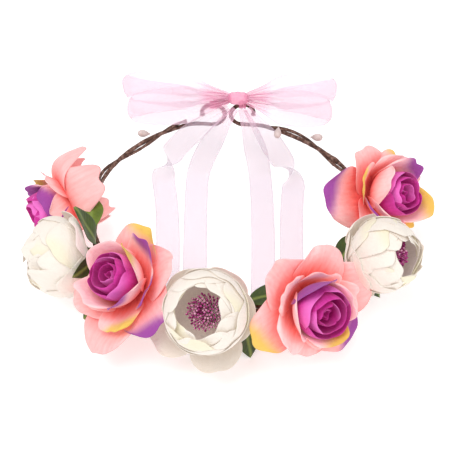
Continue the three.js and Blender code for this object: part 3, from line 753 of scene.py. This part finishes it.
def vine_rod(name, points, radius, body, replaced, lumps=0.18, seed=1.0, blend=None):
    """A knobbly rod through points, in millimetres."""
    data = bpy.data.curves.new(name, "CURVE")
    data.dimensions, data.bevel_depth, data.bevel_resolution, data.use_fill_caps = "3D", 1, 3, True
    spline = data.splines.new("POLY")
    spline.points.add(len(points) - 1)
    for i, point in enumerate(points):
        spline.points[i].co = (*point, 1)
        bump = noise.noise(Vector((i * 0.42, seed * 3.1, 0.5)))
        knot = max(0, noise.noise(Vector((i * 0.15, seed * 9.4, 4))) - 0.28)
        spline.points[i].radius = radius * (1 + lumps * bump + 1.6 * knot)
    curve = bpy.data.objects.new(name + "_curve", data)
    bpy.context.collection.objects.link(curve)
    bpy.context.view_layer.update()
    mesh = bpy.data.meshes.new_from_object(curve)
    bpy.data.objects.remove(curve)
    bm = bmesh.new()
    bm.from_mesh(mesh)
    bmesh.ops.remove_doubles(bm, verts=bm.verts, dist=0.001)
    bmesh.ops.recalc_face_normals(bm, faces=bm.faces)
    rod = make_piece(name, bm, bark, None if blend else body, replaced, smooth=0)
    if blend:
        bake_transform(rod)
    return rod


def smooth_line(points, count):
    """count points on a curve that goes through every one of points."""
    line = []
    for i in range(count):
        t = i / (count - 1) * (len(points) - 1)
        k = min(int(t), len(points) - 2)
        f = t - k
        a, b, c, d = (points[min(max(k + j, 0), len(points) - 1)] for j in (-1, 0, 1, 2))
        squared, cubed = 2 * a - 5 * b + 4 * c - d, 3 * b - a - 3 * c + d
        line.append(0.5 * (2 * b + (c - a) * f + squared * f * f + cubed * f ** 3))
    return line


def arm_points(side, flex, flattening, start):
    ring_end = 90 - side * 16
    points = []
    for i in range(9):
        degrees = start + (ring_end - start) * i / 8
        points.append(ring_point(degrees, -pressed_in(flex, flattening, degrees)))
    for i in range(12):
        share = i / 11
        a = math.radians(EYE_TURN * share)
        x = side * (EYE_X - EYE_RADIUS * math.sin(a))
        z = VINE_HEIGHT + EYE_RISE - EYE_RADIUS * math.cos(a)
        points.append(Vector((x, RING_RADIUS + EYE_LEAN * share, z)))
    return points


def wound(start, end, steps, flex=0, flattening=0):
    points = []
    for i in range(steps + 1):
        degrees = start + (end - start) * i / steps
        wind = TWIST_TURNS * math.radians(degrees)
        outwards = WIND_RADIUS * math.cos(wind) - pressed_in(flex, flattening, degrees)
        points.append(ring_point(degrees, outwards, WIND_RADIUS * math.sin(wind)))
    return points


OVERLAP = 4  # degrees that an arm's strand reaches into the front stretch
front_start, front_end = LEFT_FLEX + OVERLAP, 360 + RIGHT_FLEX - OVERLAP
front = [ring_point(front_start + (front_end - front_start) * i / 160) for i in range(161)]
vine_rod("vine_front_bark", front, STRAND_RADIUS, BODY, ["vine_front_strand"], seed=1)
vine_rod("vine_front_twist_bark", wound(front_start, front_end, 200), TWIST_RADIUS, BODY,
         ["vine_front_twist"], seed=2)
for side, name, flex, flattening in ((-1, "left_arm", LEFT_FLEX, 1), (1, "right_arm", RIGHT_FLEX, 4)):
    begin = flex - side * OVERLAP
    across = (BODY, name, TO_FRAME @ ring_point(begin), TO_FRAME @ ring_point(flex + side * OVERLAP))
    strand = smooth_line(arm_points(side, flex, flattening, begin), 130)
    vine_rod(f"vine_{name}_bark", strand, STRAND_RADIUS, name, [f"vine_{name}_strand"], seed=3 + side,
             blend=across)
    twist = wound(begin, 90 - side * 19, 70, flex, flattening)
    vine_rod(f"vine_{name}_twist_bark", twist, TWIST_RADIUS, name, [f"vine_{name}_twist"], seed=6 + side,
             blend=across)
print("vine: front stretch and two arms")

# %% [markdown]
# ## Pips
# A berry pip is a small smooth drop on a thread of wire. Its outline is spun round its own axis.

# %% Pips
PIP_START = 5.35  # from the vine's centreline


def make_pip(name, body, **place):
    head = mount(**place)
    bm = bmesh.new()
    outline = [(0, -1), (0.6, -1), (0.6, 0.2), (1.3, 1), (2.2, 2.7), (2.75, 5.2), (2.4, 7.2), (1.3, 8.6),
               (0, 9)]
    verts = [bm.verts.new((r, 0, PIP_START + 1 + z)) for r, z in outline]
    edges = [bm.edges.new(pair) for pair in zip(verts, verts[1:])]
    bmesh.ops.spin(bm, geom=verts + edges, axis=(0, 0, 1), cent=(0, 0, 0), steps=16, angle=math.tau,
                   use_merge=True)
    bmesh.ops.remove_doubles(bm, verts=bm.verts, dist=0.001)
    bmesh.ops.recalc_face_normals(bm, faces=bm.faces)
    bmesh.ops.transform(bm, matrix=head, verts=bm.verts)
    make_piece(f"{name}_berry", bm, pip_skin, body, [name])


make_pip("pip_left_side", BODY, at=167, azimuth=280, elevation=50)
make_pip("pip_left_arm", "left_arm", at=124, azimuth=206, elevation=25)
make_pip("pip_right_arm_inner", "right_arm", at=66, azimuth=262, elevation=-5, lift=5)
make_pip("pip_right_arm_outer", "right_arm", at=53, azimuth=325, elevation=25)
print("four pips")

# %% [markdown]
# ## Ribbon
# Two ribbons 16 mm wide were doubled through the eyes and tied in one bow, which gives four loops and four
# tails. A ribbon keeps its width, so where the knot squeezes it to a few millimetres it folds into pleats.
# Each strip is a grid laid along a line: near the knot its cross-section zigzags, and further out it is
# flat with a slow ripple. The outer tails turn over once on the way down.

# %% Ribbon maker
RIBBON_WIDTH = 16
LOOP_PINCH, TAIL_PINCH, STRAP_PINCH = 4.5, 3.5, 5  # the width where a knot or a binding squeezes them
RIBBON_WALL = 0.14


def along_line(line, share):
    """Point and direction at a share of a line's length."""
    lengths = [(b - a).length for a, b in zip(line, line[1:])]
    rest = share * sum(lengths)
    for a, b, length in zip(line, line[1:], lengths):
        if rest <= length or b is line[-1]:
            return a.lerp(b, min(rest / length, 1)), (b - a).normalized()
        rest -= length


def ribbon_strip(line, way, width_at, turn_at=None, dye_at=None, ripple=0.5, steps=60, pleats=3, seed=0.0,
                 rounding=None, pleat_dye=0.5):
    """way(t): across the strip. width_at(t): the width it's squeezed to. turn_at(t): radians turned over.
    rounding(t): how far the two selvedges are drawn back, as a vector. pleat_dye: how pink the tightest
    pleats are."""
    bm, dye_and_painted_shade, flat = new_cloth()
    length = sum((b - a).length for a, b in zip(line, line[1:]))
    made = bmesh.ops.create_grid(bm, x_segments=18, y_segments=steps, size=0.5)["verts"]
    lay = {}
    for v in made:
        u, t = v.co.x * 2, v.co.y + 0.5
        point, along = along_line(line, t)
        across = way(t)
        across = (across - along * across.dot(along)).normalized()
        out = along.cross(across)
        if turn_at:
            turn = Matrix.Rotation(turn_at(t), 3, along)
            across, out = turn @ across, turn @ out
        squeezed = width_at(t) / RIBBON_WIDTH
        fold = math.sqrt(max(1 / squeezed ** 2 - 1, 0)) * width_at(t) / (2 * pleats) * 0.55
        fold = min(fold, 1.0)
        slow = noise.noise(Vector((u * 0.7, t * length / 16, seed)))
        wavy = fold * math.sin(math.pi * pleats * u + seed) + ripple * slow
        v.co = point + across * (u * width_at(t) / 2) + out * wavy
        if rounding:
            v.co += rounding(t) * u * u
        lay[v] = (u * RIBBON_WIDTH / 2 / FLAT_UNIT, t * length / FLAT_UNIT)
        gathered = pleat_dye * (1 - step(0.2, 1.0, squeezed)) ** 1.6
        v[dye_and_painted_shade] = (max(gathered, dye_at(t) if dye_at else 0), 0, 0, 1)
    for face in bm.faces:
        for loop in face.loops:
            loop[flat].uv = lay[loop.vert]
    return bm, length


print("ribbon maker ready")

# %% Bow loops
KNOT_LENGTH, KNOT_HEIGHT = 15, 9
BOW_LEAN = math.radians(44)
bow_up = Vector((0, math.cos(BOW_LEAN), math.sin(BOW_LEAN)))
bow_face = Vector((0, -math.sin(BOW_LEAN), math.cos(BOW_LEAN)))


def bow_loop(name, side, length, tilt, layer):
    way = Vector((side * math.cos(math.radians(tilt)), 0, 0)) + bow_up * math.sin(math.radians(tilt))
    start = knot_at + way * (KNOT_LENGTH / 2 - 2)
    line = []
    for i in range(101):
        turn = math.tau * i / 100
        out = (1 - math.cos(turn)) / 2
        near_knot = 1.5 + 4.5 * math.sqrt(out)
        depth = 4.5 * math.sin(turn) * math.sqrt(out) + 0.75 * math.cos(turn / 2)
        sag = 1.2 * math.sin(math.pi * out) * layer - 4.6 * math.sin(turn) * layer
        line.append(start + way * (length + 2) * out + bow_face * (depth + layer * near_knot) - bow_up * sag)
    middle_share = lambda t: (1 - math.cos(math.tau * t)) / 2
    squeeze = lambda t: LOOP_PINCH + (RIBBON_WIDTH - LOOP_PINCH) * step(0, 0.42, middle_share(t))
    bm, full = ribbon_strip(line, lambda t: bow_up, squeeze, ripple=1.6, seed=length / 9,
                            dye_at=lambda t: 0.1, rounding=lambda t: -way * 5 * math.sin(math.pi * t) ** 4)
    loop = make_piece(f"{name}_organza", bm, organza, BODY, [name], RIBBON_WALL)
    print(name, "ribbon, mm:", round(full))
    return loop, full


loops = [
    bow_loop("bow_left_upper_loop", -1, 74, 7, -1),
    bow_loop("bow_left_lower_loop", -1, 70, -6, 1),
    bow_loop("bow_right_upper_loop", 1, 62, 6, -1),
    bow_loop("bow_right_lower_loop", 1, 58, -9, 1),
]


# %% Tails
TABLE_GAP = 0.25


def tail(name, knot_x, swing, land, middle, end, twist=None):
    on_table = lambda place: Vector((*place, 2 * TABLE_GAP))
    sliding = on_table(land).lerp(on_table(middle), -0.3)
    start = Vector((knot_at.x + knot_x, RING_RADIUS - KNOT_HEIGHT / 2, knot_at.z - KNOT_HEIGHT / 2 - 1))
    fall = [start, Vector((*swing, VINE_HEIGHT - 6)), sliding, on_table(land)]
    line = [bezier(fall, i / 50) for i in range(50)]
    line += [bezier([on_table(land), on_table(middle), on_table(end)], i / 60) for i in range(61)]
    squeeze = lambda t: TAIL_PINCH + (RIBBON_WIDTH - TAIL_PINCH) * step(-0.06, 0.2, t)
    turn = (lambda t: math.pi * step(twist - 0.07, twist + 0.07, t)) if twist else None
    bm, full = ribbon_strip(line, lambda t: Vector((1, 0, 0)), squeeze, turn, ripple=0.35, steps=90,
                            seed=knot_x * 1.3, pleat_dye=0.3)
    for v in bm.verts:
        v.co.z = max(v.co.z, TABLE_GAP)
    piece = make_piece(f"{name}_organza", bm, organza, BODY, [name], RIBBON_WALL)
    print(name, "ribbon, mm:", round(full))
    return piece, full


tails = [
    tail("tail_left_inner", -2, (-14, 70), (-21.5, 62), (-23, 20), (-21, -60)),
    tail("tail_left_outer", -6, (-46, 68), (-45, 58), (-39, 20), (-40, -45), twist=0.33),
    tail("tail_right_inner", 2, (20, 70), (23, 62), (25, 20), (22, -60)),
    tail("tail_right_outer", 6, (35, 60), (46, 55), (42, 20), (42, -45), twist=0.33),
]
print("sheets declared:", len(loops) + len(tails))

# %% [markdown]
# ## Knot, hitches and straps
# The knot is the same ribbon wrapped tightly round its own gathers, so it shows ridges that run round it. A
# fine sphere is squeezed to the knot's size and its points are pushed in and out along those ridges. A short
# gathered strap runs from each side of the knot down to the eye, and a hitch of ribbon goes round the wire.

# %% Knot
bm, dye_and_painted_shade, flat = new_cloth()
bmesh.ops.create_uvsphere(bm, u_segments=48, v_segments=32, radius=0.5)
bmesh.ops.rotate(bm, verts=bm.verts, matrix=Matrix.Rotation(math.pi / 2, 3, "Y"))
lay = {}
for v in bm.verts:
    x, around = v.co.x * 2, math.atan2(v.co.z, v.co.y)
    barrel = (1 - abs(x) ** 3.2) ** 0.5 / max((1 - x * x) ** 0.5, 0.05)
    ridge = 1 + 0.06 * math.sin(9 * x + 1.5 * math.sin(around) + 0.7) + 0.05 * noise.noise(v.co * 6)
    wide = min(barrel, 1.5) * ridge
    lay[v] = (x * 0.075, around * 0.045)
    v.co = knot_at + Vector((v.co.x * KNOT_LENGTH, v.co.y * KNOT_HEIGHT * wide, v.co.z * KNOT_HEIGHT * wide))
    v[dye_and_painted_shade] = (1, 0, 0, 1)
for face in bm.faces:
    for loop in face.loops:
        loop[flat].uv = lay[loop.vert]
make_piece("ribbon_knot_organza", bm, organza, BODY, ["ribbon_knot"])
print("knot, mm:", KNOT_LENGTH, "x", KNOT_HEIGHT)


# %% Hitches and straps
HITCH_WALL, STRAP_WALL = 0.5, 0.3


def hitch(arm):
    bm, dye_and_painted_shade, flat = new_cloth()
    bmesh.ops.create_cone(bm, cap_ends=False, segments=28, radius1=2.5, radius2=2.5, depth=5)
    lengthwise = [e for e in bm.edges if abs(e.verts[0].co.z - e.verts[1].co.z) > 1]
    bmesh.ops.subdivide_edges(bm, edges=lengthwise, cuts=9, use_grid_fill=True)
    centre = middle(f"ribbon_{arm}_hitch") - ring_middle
    lay = {}
    for v in bm.verts:
        around = math.atan2(v.co.y, v.co.x)
        pleat = 1 + 0.09 * math.sin(4.2 * v.co.z + math.sin(around))
        lay[v] = (v.co.z * 0.016, around * 0.025)
        v.co = centre + Vector((v.co.z, v.co.x * pleat, v.co.y * pleat))
        v[dye_and_painted_shade] = (0.9, 0, 0, 1)
    for face in bm.faces:
        for loop in face.loops:
            loop[flat].uv = lay[loop.vert]
    make_piece(f"ribbon_{arm}_hitch_organza", bm, organza, arm, [f"ribbon_{arm}_hitch"],
               HITCH_WALL)
    return centre


left_centre, right_centre = hitch("left_arm"), hitch("right_arm")


def strap(name, centre, knot_end):
    top = centre + Vector((0, -1, 2.6))
    bow = top.lerp(knot_end, 0.5) + Vector((0, -1, -0.6))
    line = [bezier([top, bow, knot_end], i / 12) for i in range(13)]
    bm, full = ribbon_strip(line, lambda t: Vector((0, 1, 0.2)), lambda t: STRAP_PINCH, dye_at=lambda t: 0.7,
                            steps=12, ripple=0.3)
    piece = make_piece(name, bm, organza, None, (), STRAP_WALL)
    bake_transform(piece)
    print(name, "mm:", round(full, 1))


strap("ribbon_left_strap", left_centre, knot_at + Vector((-KNOT_LENGTH / 2 + 2.5, 0, -1)))
strap("ribbon_right_strap", right_centre, knot_at + Vector((3.4, 0, -KNOT_HEIGHT / 2 + 0.6)))

# %% [markdown]
# ## Stems
# The stems' plain solids already have the right shape, so they keep it and only get the green paper finish.

# %% Stem finish
stems = [o for name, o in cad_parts.items() if name.endswith("_stem")]
for stem_object in stems:
    stem_object.data.materials.clear()
    stem_object.data.materials.append(stem_paper)
print("stems:", len(stems))
